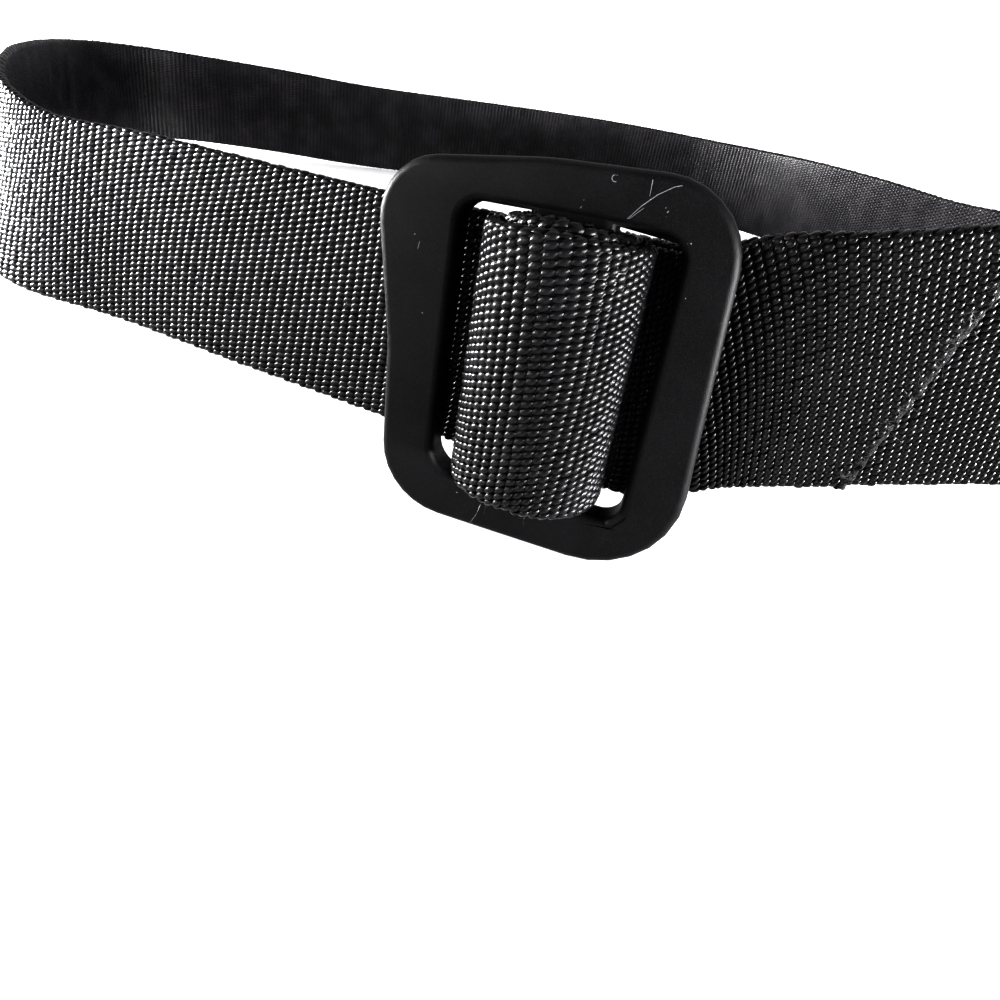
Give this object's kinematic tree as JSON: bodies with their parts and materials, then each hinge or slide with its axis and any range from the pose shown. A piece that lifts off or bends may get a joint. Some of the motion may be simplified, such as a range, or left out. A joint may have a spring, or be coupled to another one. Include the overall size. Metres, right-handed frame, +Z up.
{
  "type": "webbing belt",
  "caption": "Black webbing belt fastened as a loop through a rounded frame buckle with a hidden centre bar, standing on its edge with a slanting cut free end.",
  "frame": {"origin": "the middle of the belt's footprint, on the surface that it stands on", "axes": "+X to the wearer's left along the belt's front, +Y from the front to the back, +Z up, along the webbing's width"},
  "size_m": [0.3165, 0.2733, 0.0623],
  "materials": {
    "webbing": "matt black plain weave",
    "coated_alloy": "fine sandblasted black coating"
  },
  "bodies": {
    "root": {"strap": "webbing", "buckle_frame": "coated_alloy"}
  },
  "joints": []
}
